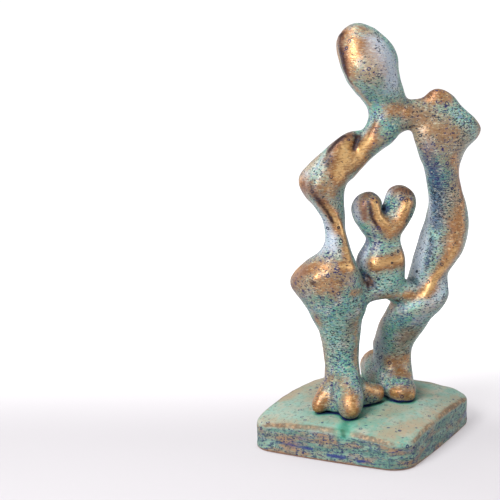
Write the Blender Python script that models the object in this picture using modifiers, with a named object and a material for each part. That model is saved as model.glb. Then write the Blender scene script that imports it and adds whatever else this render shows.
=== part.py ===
"""A small cast sculpture: a bowed parent figure whose arms and legs frame a heart-headed child,
standing on a low plinth with bowed sides.

X runs along the plinth's long side, Y along its short side, and Z is up. The origin is the
middle of the plinth's underside. Sizes are in metres; the figure is drawn in shares of its height.
"""

import math

import bmesh
import bpy
import numpy as np
from mathutils import Vector

# Plinth
PLINTH_WIDTH = 0.1062
PLINTH_DEPTH = 0.0962
PLINTH_MIDDLE_HEIGHT = 0.0224
PLINTH_EVEN_FALL = 0.0012
PLINTH_RIM_FALL = 0.0028
PLINTH_CORNER_RADII = (0.012, 0.018, 0.013, 0.013)
PLINTH_BOW = 0.0016
PLINTH_TOP_ROUND = 0.0022
PLINTH_FOOT_ROUND = 0.0009

# Figure group
OVERALL_HEIGHT = 0.2375
DRAWN_HEIGHT = 237.5
SOLE_GAP = 0.0003
SKIN_VOXEL = 0.0017
SKIN_SMOOTHING = 7
SKIN_SHARE_KEPT = 0.152

# Directions in plan: the figures stand along a diagonal of the plinth
LIMB_TURN = 12.0
GROUP_TURN = -45.0

RING_POINTS = 28
RINGS_PER_SPAN = 3
PLINTH_POINTS = 72


def scaled(stations):
    """Rows of lengths drawn on a figure DRAWN_HEIGHT tall, brought to its real size."""
    return np.array(stations, float) * (OVERALL_HEIGHT / DRAWN_HEIGHT)


def smooth_rows(rows, per_span):
    """A Catmull-Rom curve through the rows, with per_span steps between each two."""
    rows = np.array(rows, float)
    padded = np.vstack([2 * rows[0] - rows[1], rows, 2 * rows[-1] - rows[-2]])
    out = []
    for i in range(1, len(padded) - 2):
        before, start, end, after = padded[i - 1 : i + 3]
        for t in np.linspace(0, 1, per_span, endpoint=False):
            out.append(
                start
                + 0.5 * t * (end - before)
                + t * t * (before - 2.5 * start + 2 * end - 0.5 * after)
                + t**3 * (1.5 * (start - end) + 0.5 * (after - before))
            )
    out.append(rows[-1])
    return np.array(out)


def oval(half_a, half_b, squareness):
    """A superellipse with half widths half_a and half_b: 2 is an ellipse, higher is boxier."""
    angle = np.linspace(0, 2 * math.pi, RING_POINTS, endpoint=False)
    cosine, sine = np.cos(angle), np.sin(angle)
    power = 2 / squareness
    return np.stack(
        [
            half_a * np.sign(cosine) * np.abs(cosine) ** power,
            half_b * np.sign(sine) * np.abs(sine) ** power,
        ],
        axis=1,
    )


def solid_from_rings(name, rings):
    """A closed mesh object skinned over rings of equal count, with a fan at each end."""
    mesh = bpy.data.meshes.new(name)
    made = bmesh.new()
    loops = [[made.verts.new(point) for point in ring] for ring in rings]
    for lower, upper in zip(loops, loops[1:]):
        for i in range(len(lower)):
            j = (i + 1) % len(lower)
            made.faces.new((lower[i], lower[j], upper[j], upper[i]))
    for loop in (loops[0], loops[-1]):
        middle = made.verts.new(sum((v.co for v in loop), Vector()) / len(loop))
        for i in range(len(loop)):
            made.faces.new((loop[i], loop[(i + 1) % len(loop)], middle))
    bmesh.ops.recalc_face_normals(made, faces=made.faces)
    made.to_mesh(mesh)
    made.free()
    return bpy.data.objects.new(name, mesh)


def upright_limb(name, stations, squareness=2.0):
    """A limb of level sections. A station is x, y, z, half widths a and b, and the turn of a."""
    stations = np.array(stations, float)
    lengths = scaled(stations[:, :5])
    rows = smooth_rows(np.column_stack([lengths, stations[:, 5]]), RINGS_PER_SPAN)
    rings = []
    for x, y, z, half_a, half_b, turn in rows:
        flat = oval(max(half_a, 0.0004), max(half_b, 0.0004), squareness)
        cosine, sine = math.cos(math.radians(turn)), math.sin(math.radians(turn))
        rings.append(
            [
                (x + p * cosine - q * sine, y + p * sine + q * cosine, z)
                for p, q in flat
            ]
        )
    return solid_from_rings(name, rings)


def lying_limb(name, stations, squareness=2.2):
    """A limb of sections square to its own path. A station is x, y, z, half width, half height."""
    rows = smooth_rows(scaled(stations), RINGS_PER_SPAN)
    path = rows[:, :3]
    along = np.gradient(path, axis=0)
    along /= np.linalg.norm(along, axis=1)[:, None]
    rings = []
    for centre, way, (half_wide, half_high) in zip(path, along, rows[:, 3:5]):
        side = np.cross(way, (0, 0, 1))
        side /= np.linalg.norm(side)
        rise = np.cross(side, way)
        flat = oval(max(half_wide, 0.0004), max(half_high, 0.0004), squareness)
        rings.append([centre + p * side + q * rise for p, q in flat])
    return solid_from_rings(name, rings)


def plan_outline(inset):
    """The plinth's outline in plan: round corners joined by sides that bow outwards."""
    half_x = PLINTH_WIDTH / 2 - inset
    half_y = PLINTH_DEPTH / 2 - inset
    quarter = np.linspace(0, math.pi / 2, 24)
    points = []
    for turn in range(4):
        sign_x = (1, -1, -1, 1)[turn]
        sign_y = (1, 1, -1, -1)[turn]
        angle = quarter + turn * math.pi / 2
        radius = PLINTH_CORNER_RADII[turn] - inset
        corner = np.array([sign_x * (half_x - radius), sign_y * (half_y - radius)])
        points.append(
            corner + radius * np.stack([np.cos(angle), np.sin(angle)], axis=1)
        )
    points = np.concatenate(points)
    closed = np.vstack([points, points[:1]])
    length = np.concatenate(
        [[0], np.cumsum(np.linalg.norm(np.diff(closed, axis=0), axis=1))]
    )
    even = np.linspace(0, length[-1], PLINTH_POINTS, endpoint=False)
    x = np.interp(even, length, closed[:, 0])
    y = np.interp(even, length, closed[:, 1])
    bowed_x = x + np.sign(x) * PLINTH_BOW * (np.abs(x) / half_x) * (1 - (y / half_y) ** 2)
    bowed_y = y + np.sign(y) * PLINTH_BOW * (np.abs(y) / half_y) * (1 - (x / half_x) ** 2)
    return np.stack([bowed_x, bowed_y], axis=1)


def plinth_top(points):
    """Height of the domed top over points in plan: nearly flat, falling most at the corners."""
    x = points[:, 0] / (PLINTH_WIDTH / 2 + PLINTH_BOW)
    y = points[:, 1] / (PLINTH_DEPTH / 2 + PLINTH_BOW)
    even = x**2 + y**2
    rim = x**4 + y**4 + 0.9 * x**2 * y**2
    return PLINTH_MIDDLE_HEIGHT - PLINTH_EVEN_FALL * even - PLINTH_RIM_FALL * rim


def plinth_rings(lift=0.0):
    """Rings from the underside up the wall, round the rim and over the domed top."""
    rings = []
    for step in np.linspace(0, math.pi / 2, 3):
        inset = PLINTH_FOOT_ROUND * (1 - math.sin(step))
        height = PLINTH_FOOT_ROUND * (1 - math.cos(step))
        rings.append(np.column_stack([plan_outline(inset), np.full(PLINTH_POINTS, height)]))
    for step in np.linspace(0, math.pi / 2, 5):
        outline = plan_outline(PLINTH_TOP_ROUND * (1 - math.cos(step)))
        below = PLINTH_TOP_ROUND * (1 - math.sin(step))
        rings.append(np.column_stack([outline, plinth_top(outline) - below + lift]))
    rim = plan_outline(PLINTH_TOP_ROUND)
    for share in (0.96, 0.91, 0.85, 0.77, 0.66, 0.52, 0.34, 0.14):
        rings.append(np.column_stack([rim * share, plinth_top(rim * share) + lift]))
    return rings


def clear_objects():
    for thing in list(bpy.data.objects):
        bpy.data.objects.remove(thing, do_unlink=True)


def head_and_neck():
    """Faceless head, leaning to +X, on a neck that runs down into the near shoulder."""
    t = LIMB_TURN
    return upright_limb(
        "head_and_neck",
        [
            (18.5, 4.0, 237.4, 1.0, 0.7, t),
            (18.3, 4.0, 236.6, 5.6, 3.8, t),
            (17.5, 4.1, 234.4, 12.0, 8.2, t),
            (16.8, 4.6, 231.5, 16.2, 11.0, t),
            (15.2, 5.2, 227.5, 19.6, 14.2, t),
            (13.7, 7.0, 220.0, 21.9, 16.0, t),
            (13.8, 9.4, 212.0, 23.2, 14.9, t),
            (11.9, 10.7, 205.5, 22.0, 14.2, t),
            (7.8, 12.2, 199.5, 18.2, 13.0, t),
            (4.8, 14.3, 193.5, 14.0, 11.4, t),
            (5.2, 14.8, 186.0, 13.8, 9.4, t),
            (7.6, 13.6, 179.0, 13.5, 10.4, t),
            (10.5, 10.8, 172.0, 12.8, 9.0, t),
            (13.0, 4.5, 166.0, 9.2, 7.9, t),
            (16.2, -2.4, 159.0, 8.4, 8.0, t),
            (18.8, -7.4, 151.0, 7.0, 7.0, t),
        ],
        squareness=2.2,
    )


def near_side():
    """Near shoulder, elbow, slim forearm, broad hip and straight leg."""
    t = LIMB_TURN
    return upright_limb(
        "near_side",
        [
            (15.6, 2.4, 179.4, 1.0, 1.0, t),
            (15.9, 1.4, 178.2, 4.2, 4.0, t),
            (17.6, -1.0, 175.2, 6.8, 6.2, t),
            (20.4, -3.6, 171.0, 9.3, 8.6, t),
            (21.2, -6.2, 166.6, 11.6, 11.0, t),
            (21.6, -10.0, 160.5, 14.2, 14.2, t),
            (23.4, -13.6, 154.0, 16.0, 15.3, t),
            (25.3, -14.4, 148.0, 16.5, 13.2, t),
            (25.1, -13.2, 142.0, 14.8, 10.8, t),
            (24.1, -10.8, 136.0, 12.2, 8.0, t),
            (23.7, -8.9, 130.0, 10.2, 6.6, t),
            (24.1, -7.6, 124.0, 9.2, 6.2, t),
            (25.7, -6.0, 118.0, 10.4, 6.8, t),
            (28.7, -5.9, 112.0, 14.0, 9.6, t),
            (30.6, -8.4, 106.0, 17.2, 15.2, t),
            (30.3, -10.2, 100.0, 19.8, 19.3, t),
            (29.9, -10.2, 94.0, 20.2, 20.7, t),
            (28.2, -8.2, 88.0, 18.9, 18.8, t),
            (26.2, -6.2, 81.0, 16.8, 16.9, t),
            (24.2, -6.3, 74.0, 14.4, 14.4, t),
            (22.0, -6.2, 67.0, 12.6, 12.2, t),
            (20.3, -6.3, 58.0, 10.9, 10.6, t),
            (19.3, -6.2, 48.0, 10.4, 9.9, t),
            (19.8, -5.6, 39.0, 11.4, 9.9, t),
            (21.0, -4.0, 30.0, 12.6, 9.8, t),
            (21.6, -3.4, 22.0, 12.6, 9.6, t),
            (21.6, -3.4, 13.0, 12.0, 9.0, t),
        ],
    )


def far_side():
    """Far shoulder with its two knobs, long arm, and the leg that stands at the back."""
    t = LIMB_TURN
    return upright_limb(
        "far_side",
        [
            (-14.6, 36.8, 201.0, 1.0, 1.0, -33),
            (-15.2, 37.2, 199.4, 5.4, 4.4, -33),
            (-17.0, 37.4, 195.5, 9.8, 7.4, -33),
            (-18.9, 37.8, 189.5, 13.3, 9.4, -33),
            (-19.8, 40.0, 183.5, 18.8, 10.4, -33),
            (-19.8, 41.0, 178.0, 22.8, 11.0, -33),
            (-19.8, 40.8, 172.0, 22.2, 11.0, -26),
            (-19.3, 38.8, 166.0, 19.4, 11.0, -10),
            (-20.6, 37.8, 160.0, 17.6, 10.4, 2),
            (-22.3, 37.4, 154.0, 16.2, 9.8, t),
            (-24.2, 37.5, 148.0, 15.0, 9.9, t),
            (-26.1, 38.0, 142.0, 14.1, 10.4, t),
            (-27.3, 38.7, 136.0, 13.8, 11.4, t),
            (-27.8, 38.8, 130.0, 13.8, 12.7, t),
            (-27.8, 38.4, 124.0, 13.9, 13.8, t),
            (-27.3, 37.8, 118.0, 13.8, 14.8, t),
            (-25.8, 37.0, 112.0, 13.5, 15.1, t),
            (-24.0, 35.5, 106.0, 12.9, 14.7, t),
            (-22.3, 32.8, 100.0, 11.4, 13.4, t),
            (-20.6, 30.6, 94.0, 10.6, 12.0, t),
            (-19.0, 30.4, 88.0, 11.8, 12.9, t),
            (-15.2, 28.8, 82.0, 14.2, 15.8, t),
            (-11.8, 26.2, 76.0, 14.8, 15.6, t),
            (-12.0, 22.0, 69.0, 13.0, 13.8, t),
            (-15.4, 15.8, 60.0, 12.0, 13.8, t),
            (-18.2, 9.8, 50.0, 11.0, 11.9, t),
            (-19.4, 8.6, 41.0, 11.4, 11.0, t),
            (-18.0, 11.0, 32.0, 11.0, 10.2, t),
            (-17.0, 12.5, 22.0, 11.0, 10.0, t),
            (-17.0, 12.5, 13.0, 10.0, 9.0, t),
        ],
    )


def yoke():
    """The bar of the shoulders, from the neck across to the far shoulder."""
    return lying_limb(
        "yoke",
        [
            (11.0, 9.5, 180.0, 8.0, 6.0),
            (4.0, 16.0, 183.6, 9.0, 8.4),
            (-4.0, 23.5, 186.6, 9.0, 8.4),
            (-12.0, 31.5, 185.8, 9.4, 9.6),
            (-19.0, 38.0, 182.5, 9.0, 9.6),
        ],
    )


def bridge():
    """The low bar between the hips that the child rises from."""
    return lying_limb(
        "bridge",
        [
            (-16.0, 28.0, 78.0, 11.0, 7.0),
            (-8.0, 21.5, 84.0, 10.8, 7.4),
            (2.0, 13.5, 89.4, 10.6, 7.0),
            (11.0, 6.0, 89.6, 10.8, 7.4),
            (22.0, -4.0, 86.0, 12.0, 9.0),
        ],
    )


def group_point(across, through, height):
    """A point given across the group, through it and up, turned onto the plinth's diagonal."""
    turn = math.radians(GROUP_TURN)
    return (
        across * math.cos(turn) - through * math.sin(turn),
        across * math.sin(turn) + through * math.cos(turn),
        height,
    )


def child_body():
    """The child's torso, squared shoulders and neck."""
    g = GROUP_TURN
    stations = [
                (-5.6, 10.6, 86.5, 11.6, 9.6),
        (-5.4, 10.6, 94.0, 12.4, 11.6),
        (-5.2, 10.6, 101.0, 12.9, 12.3),
        (-5.2, 10.7, 106.5, 13.0, 12.2),
        (-6.0, 11.4, 111.5, 10.6, 11.0),
        (-6.8, 11.8, 119.0, 8.0, 10.0),
        (-6.9, 11.6, 126.0, 8.9, 9.6),
        (-6.9, 11.4, 130.0, 9.4, 9.0),
        ]
    return upright_limb(
        "child_body",
        [(*group_point(*row[:3]), row[3], row[4], g) for row in stations],
        squareness=3.0,
    )


def child_lobe(name, side, lean, drop):
    """One lobe of the child's heart-shaped head: a bar with a domed top that leans outwards."""
    g = GROUP_TURN
    stations = [
        (-6.9 + 1.0 * side, 11.2, 118.0 - drop, 6.5, 8.4),
        (-6.9 + 4.6 * side, 11.2, 124.5 - drop, 8.2, 9.2),
        (-6.9 + (8.0 + lean) * side, 11.2, 131.5 - drop, 9.0, 9.7),
        (-6.9 + (9.8 + lean) * side, 11.2, 138.0 - drop, 8.9, 9.9),
        (-6.9 + (10.0 + lean) * side, 11.8, 143.2 - drop, 7.4, 9.3),
        (-6.9 + (9.7 + lean) * side, 12.4, 146.4 - drop, 4.6, 7.0),
        (-6.9 + (9.5 + lean) * side, 12.4, 147.6 - drop, 1.0, 2.4),
        ]
    return upright_limb(
        name,
        [(*group_point(*row[:3]), row[3], row[4], g) for row in stations],
        squareness=2.8,
    )


def far_foot():
    """Long foot of the far leg, its toe towards -X and -Y and its heel behind."""
    return lying_limb(
        "far_foot",
        [
            (2.0, 26.8, 25.4, 4.6, 4.4),
            (-1.5, 23.4, 26.2, 8.0, 6.6),
            (-8.0, 17.4, 27.4, 9.4, 8.0),
            (-16.0, 8.0, 29.5, 9.6, 12.0),
            (-23.5, -1.5, 30.5, 9.0, 12.0),
            (-31.5, -6.0, 29.5, 9.8, 11.4),
            (-37.3, -11.2, 27.4, 8.9, 9.4),
            (-41.0, -15.4, 26.4, 7.0, 7.2),
            (-43.2, -18.0, 25.9, 2.8, 3.4),
        ],
    )


def near_foot():
    """Foot of the near leg: a heel of two lobes and two splayed toes."""
    front_heel = lying_limb(
        "near_front_heel",
        [
            (22.0, -4.0, 31.0, 9.0, 9.0),
            (16.5, -9.0, 29.4, 8.0, 9.0),
            (13.0, -13.0, 28.0, 7.0, 8.0),
            (10.8, -16.0, 27.2, 5.2, 6.0),
            (9.8, -17.6, 26.6, 2.0, 2.4),
        ],
    )
    back_heel = lying_limb(
        "near_back_heel",
        [
            (20.0, -1.0, 31.0, 9.0, 9.0),
            (14.5, 5.0, 28.6, 7.6, 7.8),
            (9.0, 8.8, 27.4, 6.4, 6.4),
            (4.8, 10.8, 27.0, 4.8, 5.0),
            (3.0, 11.6, 26.6, 1.8, 2.0),
        ],
    )
    outer_toe = lying_limb(
        "near_outer_toe",
        [
            (20.0, -4.0, 32.0, 9.0, 9.0),
            (28.0, -7.6, 28.4, 7.2, 7.4),
            (34.6, -10.8, 26.0, 5.4, 5.4),
            (39.0, -12.8, 24.8, 3.9, 4.0),
            (41.0, -13.8, 24.2, 1.4, 1.6),
        ],
    )
    inner_toe = lying_limb(
        "near_inner_toe",
        [
            (18.0, -4.0, 34.0, 9.0, 9.0),
            (27.0, 0.6, 31.5, 8.4, 8.8),
            (34.0, 5.0, 29.0, 8.0, 8.4),
            (39.5, 8.4, 27.4, 6.8, 7.2),
            (43.0, 10.4, 26.6, 4.4, 5.0),
            (44.6, 11.2, 26.2, 1.6, 2.0),
        ],
    )
    return [front_heel, back_heel, outer_toe, inner_toe]


def paint(name, colour, roughness, metallic):
    material = bpy.data.materials.new(name)
    material.use_nodes = True
    shader = material.node_tree.nodes["Principled BSDF"]
    shader.inputs["Base Color"].default_value = (*colour, 1.0)
    shader.inputs["Roughness"].default_value = roughness
    shader.inputs["Metallic"].default_value = metallic
    return material


def build_figure(collection, cutter):
    """All the limbs in one casting: skinned over, smoothed, thinned and cut at the soles."""
    limbs = [
        head_and_neck(),
        near_side(),
        far_side(),
        yoke(),
        bridge(),
        child_body(),
        child_lobe("child_far_lobe", -1, -0.5, 0.5),
        child_lobe("child_near_lobe", 1, 0.1, 3.2),
        far_foot(),
        *near_foot(),
    ]
    together = bmesh.new()
    for limb in limbs:
        together.from_mesh(limb.data)
        bpy.data.objects.remove(limb)
    mesh = bpy.data.meshes.new("figure_group")
    together.to_mesh(mesh)
    together.free()
    figure = bpy.data.objects.new("figure_group", mesh)
    collection.objects.link(figure)

    skin = figure.modifiers.new("skin", "REMESH")
    skin.mode = "VOXEL"
    skin.voxel_size = SKIN_VOXEL
    blend = figure.modifiers.new("blend", "SMOOTH")
    blend.factor = 0.5
    blend.iterations = SKIN_SMOOTHING
    thin = figure.modifiers.new("thin", "DECIMATE")
    thin.ratio = SKIN_SHARE_KEPT
    soles = figure.modifiers.new("soles", "BOOLEAN")
    soles.operation = "DIFFERENCE"
    soles.solver = "EXACT"
    soles.object = cutter
    return figure


def main():
    clear_objects()
    sculpture = bpy.data.collections.new("annunciation_sculpture")
    cutters = bpy.data.collections.new("cutters")
    for collection in (sculpture, cutters):
        bpy.context.scene.collection.children.link(collection)

    plinth = solid_from_rings("plinth", plinth_rings())
    sculpture.objects.link(plinth)

    cutter = solid_from_rings("plinth_seat", plinth_rings(lift=SOLE_GAP))
    cutter.hide_render = True
    cutter.display_type = "WIRE"
    cutters.objects.link(cutter)

    figure = build_figure(sculpture, cutter)

    patina = (0.30, 0.42, 0.36)
    figure.data.materials.append(paint("figure_patina", patina, 0.45, 0.35))
    plinth.data.materials.append(paint("plinth_patina", patina, 0.5, 0.3))
    for piece in (figure, plinth):
        piece.data.shade_smooth()


main()
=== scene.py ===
import bpy
import numpy as np
from mathutils import Matrix


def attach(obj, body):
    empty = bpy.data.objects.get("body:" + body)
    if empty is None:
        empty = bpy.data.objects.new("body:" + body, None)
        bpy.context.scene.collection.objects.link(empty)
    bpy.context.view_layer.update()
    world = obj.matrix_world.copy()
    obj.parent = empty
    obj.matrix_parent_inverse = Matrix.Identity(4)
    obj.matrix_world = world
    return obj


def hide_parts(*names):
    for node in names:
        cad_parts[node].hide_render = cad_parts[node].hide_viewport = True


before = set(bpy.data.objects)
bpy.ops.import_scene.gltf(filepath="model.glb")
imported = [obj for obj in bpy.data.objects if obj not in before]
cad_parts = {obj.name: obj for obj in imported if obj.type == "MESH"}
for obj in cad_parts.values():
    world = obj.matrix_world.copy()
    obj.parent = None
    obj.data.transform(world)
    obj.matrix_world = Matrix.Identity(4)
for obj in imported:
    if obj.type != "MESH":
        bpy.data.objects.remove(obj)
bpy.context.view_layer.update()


# Plinth
# The real one is a low block with round corners and bowed sides, cast in resin, its top a little
# domed. It is washed in turquoise by hand, brushed sideways on its walls, and gold is rubbed along
# its top edge. The figure is glued on it, with a line of blue and emerald paint round the soles.


def unevenness(points, length, seed, stretch=(1.0, 1.0, 1.0)):
    """Hand-worked unevenness, about -1 to 1: the sum of 24 sine waves of nearly the given length
    (mm) that run in directions drawn at random, on points first divided by stretch."""
    draw = np.random.default_rng(seed)
    way = draw.normal(size=(24, 3))
    way /= np.linalg.norm(way, axis=1)[:, None]
    wave = way * (2 * np.pi / length) * draw.uniform(0.6, 1.6, (24, 1))
    start = draw.uniform(0, 2 * np.pi, 24)
    return np.sin((points / np.array(stretch)) @ wave.T + start).sum(axis=1) / 5.2


def brushed(points, marks, spread=1.0):
    """How thickly paint lies: each mark is a line between two ends (mm), a width and a load, and
    the load falls off as the bell curve of the distance from that line over width times spread.
    A mark with one end goes on from the last mark's end."""
    layer = np.zeros(len(points))
    for *start, end, width, load in marks:
        start = np.array(start[0] if start else last, float)
        run, last = np.subtract(end, start), end
        share = np.clip((points - start) @ run / max(run @ run, 1e-9), 0, 1)
        gap = np.linalg.norm(points - start - share[:, None] * run, axis=1)
        layer = np.maximum(layer, load * np.exp(-((gap / (width * spread)) ** 2)))
    return layer


def add_layer(mesh, layer, values):
    data = mesh.attributes.new(layer, "FLOAT", "POINT").data
    data.foreach_set("value", values.astype(np.float32))


def piece_from(name, points, faces, layers):
    """A smooth-shaded object from points in mm, with one number per point for each paint layer."""
    mesh = bpy.data.meshes.new(name)
    mesh.from_pydata((points * 0.001).tolist(), [], faces)
    mesh.shade_smooth()
    for layer, values in layers.items():
        add_layer(mesh, layer, values)
    piece = bpy.data.objects.new(name, mesh)
    bpy.context.scene.collection.objects.link(piece)
    return piece


def tube_faces(rows, count):
    """Quads between neighbouring rings of count points, and a fan to a middle point at each end."""
    ring = np.arange(count)
    after = (ring + 1) % count
    base = np.arange(rows - 1)[:, None] * count
    quads = np.stack(
        [base + ring, base + after, base + count + after, base + count + ring], axis=2
    ).reshape(-1, 4)
    low, high = rows * count, rows * count + 1
    last = (rows - 1) * count
    first_fan = np.stack([after, ring, np.full(count, low)], axis=1)
    last_fan = np.stack([last + ring, last + after, np.full(count, high)], axis=1)
    return quads, np.concatenate([first_fan, last_fan])


def plinth_plan(inset):
    """Outline in plan (mm): quarter circles of 12, 18, 13 and 13 mm joined by straight sides, at
    even steps along its length, then each side pushed out by 1.6 mm times 1 minus the square of
    how far along it a point lies."""
    half = np.array([53.1, 48.1]) - inset
    radius = np.array([12.0, 18.0, 13.0, 13.0]) - inset
    sign = np.array([(1, 1), (-1, 1), (-1, -1), (1, -1)])
    turn = np.arange(4)[:, None] * np.pi / 2 + np.linspace(0, np.pi / 2, 40)
    corner = sign * (half - radius[:, None])
    circle = np.stack([np.cos(turn), np.sin(turn)], axis=2)
    points = (corner[:, None] + radius[:, None, None] * circle).reshape(-1, 2)
    closed = np.vstack([points, points[:1]])
    length = np.append(0, np.linalg.norm(np.diff(closed, axis=0), axis=1).cumsum())
    even = np.linspace(0, length[-1], 420, endpoint=False)
    flat = np.stack([np.interp(even, length, closed[:, k]) for k in range(2)], axis=1)
    across = flat[:, ::-1] / half[::-1]
    return flat + 1.6 * (flat / half) * (1 - across**2)


# Half the plinth's width along x and y, with the bow of its sides (mm).
half_size = (54.7, 49.7)


def plinth_top(x, y):
    """Height of the domed top (mm), from the squares of x and y as shares of the half size: 22.4,
    less 1.2 times their sum, less 2.8 times the sum of their squares and 0.9 of their product."""
    x, y = (x / half_size[0]) ** 2, (y / half_size[1]) ** 2
    return 22.4 - 1.2 * (x + y) - 2.8 * (x * x + y * y + 0.9 * x * y)


def plinth_rings():
    """Rings from the underside out, round the foot, up the wall, round the rim and over the top
    to its middle. The wall runs from the foot to the rim's radius under the top."""
    foot, rim, rings = 0.9, 2.2, []
    for share in (0.3, 0.6, 0.9):
        rings.append(np.column_stack([plinth_plan(foot) * share, np.zeros(420)]))
    for step in np.linspace(0, np.pi / 2, 4):
        plan = plinth_plan(foot * (1 - np.sin(step)))
        rings.append(np.column_stack([plan, np.full(420, foot * (1 - np.cos(step)))]))
    plan = plinth_plan(0.0)
    shoulder = plinth_top(*plan.T) - rim
    for share in np.linspace(0.05, 0.95, 24):
        rings.append(np.column_stack([plan, foot + (shoulder - foot) * share]))
    for step in np.linspace(0, np.pi / 2, 8):
        plan = plinth_plan(rim * (1 - np.cos(step)))
        height = plinth_top(*plan.T) - rim * (1 - np.sin(step))
        rings.append(np.column_stack([plan, height]))
    plan = plinth_plan(rim)
    for share in np.linspace(0.99, 0.012, 80):
        rings.append(np.column_stack([plan * share, plinth_top(*(plan * share).T)]))
    return np.array(rings)


def linear(red, green, blue):
    """A paint colour, given as it looks on a screen from 0 to 255, as light."""
    value = np.array([red, green, blue]) / 255
    value = np.where(value < 0.04045, value / 12.92, ((value + 0.055) / 1.055) ** 2.4)
    return (*value.tolist(), 1.0)


def put(tree, kind, given=(), **settings):
    """A shader node: its settings are set, and each given input is linked or set."""
    node = tree.nodes.new("ShaderNode" + kind)
    for key, value in settings.items():
        setattr(node, key, value)
    for key, value in dict(given).items():
        if isinstance(value, bpy.types.NodeSocket):
            tree.links.new(value, node.inputs[key])
        else:
            node.inputs[key].default_value = value
    return node


def calc(tree, operation, first, second=0.5, third=0.5):
    given = {0: first, 1: second, 2: third}
    return put(tree, "Math", given, operation=operation).outputs[0]


def times(tree, first, second):
    return calc(tree, "MULTIPLY", first, second)


def mul_add(tree, first, second, third):
    """First times second, plus third."""
    return calc(tree, "MULTIPLY_ADD", first, second, third)


def over(tree, mask, under, paint, share=1.0):
    """One colour laid over another where the mask is 1, with the given share of its strength. A
    colour of three numbers is as it looks on a screen."""
    given = {0: mask if share == 1 else times(tree, mask, share)}
    for socket, colour in ((6, under), (7, paint)):
        given[socket] = linear(*colour) if isinstance(colour, tuple) else colour
    return put(tree, "Mix", given, data_type="RGBA").outputs[2]


def fade(tree, value, none, full):
    """0 up to none, 1 from full on, and a smooth rise (or fall) between them."""
    given = {"Value": value, "From Min": none, "From Max": full}
    return put(tree, "MapRange", given, interpolation_type="SMOOTHSTEP").outputs[0]


def grain(tree, place, scale, detail=2.0):
    """Noise, with about as many swells to the metre as its scale says."""
    given = {"Vector": place, "Scale": scale, "Detail": detail, "Roughness": 0.55}
    return put(tree, "TexNoise", given).outputs


def channels(tree, colour):
    return put(tree, "SeparateColor", {0: colour}).outputs


def flattened(tree, place, factor):
    """The place with heights stretched, so that what is drawn there lies flatter."""
    return put(tree, "Mapping", {0: place, 3: (1.0, 1.0, factor)}).outputs[0]


def vector(tree, operation, first, second=(0.5, 0.5, 0.5)):
    """Arithmetic on vectors; the second is the mean of random colours unless given."""
    return put(tree, "VectorMath", {0: first, 1: second}, operation=operation).outputs


def new_group(name, inputs, outputs):
    group = bpy.data.node_groups.new(name, "ShaderNodeTree")
    for socket in inputs:
        group.interface.new_socket(socket, in_out="INPUT", socket_type="NodeSocketFloat")
    for socket in outputs:
        group.interface.new_socket(socket, in_out="OUTPUT", socket_type="NodeSocketFloat")
    return group, group.nodes.new("NodeGroupInput"), group.nodes.new("NodeGroupOutput")


def curls(group, place, scale, share):
    """Small open curls, one in each random cell: where the distance from the middle of the cell is
    near a radius of the cell's own, on the side that faces a direction of the cell's own."""
    cells = put(group, "TexVoronoi", {"Vector": place, "Scale": scale})
    off = vector(group, "SUBTRACT", place, cells.outputs["Position"])[0]
    way = vector(group, "SUBTRACT", cells.outputs["Color"])[0]
    facing = vector(group, "DOT_PRODUCT", off, way)["Value"]
    pick = channels(group, cells.outputs["Color"])
    radius = mul_add(group, pick[1], 0.16, 0.14)
    band = calc(group, "ABSOLUTE", calc(group, "SUBTRACT", cells.outputs["Distance"], radius))
    open_side = fade(group, times(group, facing, scale), -0.04, 0.02)
    curl = times(group, fade(group, band, 0.13, 0.07), open_side)
    shown = fade(group, calc(group, "SUBTRACT", share, pick[2]), 0.0, 0.05)
    return times(group, curl, shown)


def level_rows(group, place, apart, share):
    """Level rows of short dashes: the crests of a sine of the height that wanders a little, where
    a flattened noise passes a limit that falls as the share rises."""
    rise = put(group, "SeparateXYZ", {0: place}).outputs[2]
    wander = grain(group, place, 160.0, 1.0)["Fac"]
    phase = mul_add(group, wander, 7.0, times(group, rise, 6.2832 / apart))
    row = fade(group, calc(group, "SINE", phase), 0.10, 0.70)
    broken = grain(group, flattened(group, place, 1.4), 620.0, 1.0)["Fac"]
    limit = mul_add(group, share, -0.32, 0.73)
    dash = fade(group, calc(group, "SUBTRACT", broken, limit), 0.0, 0.05)
    return times(group, row, dash)


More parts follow.
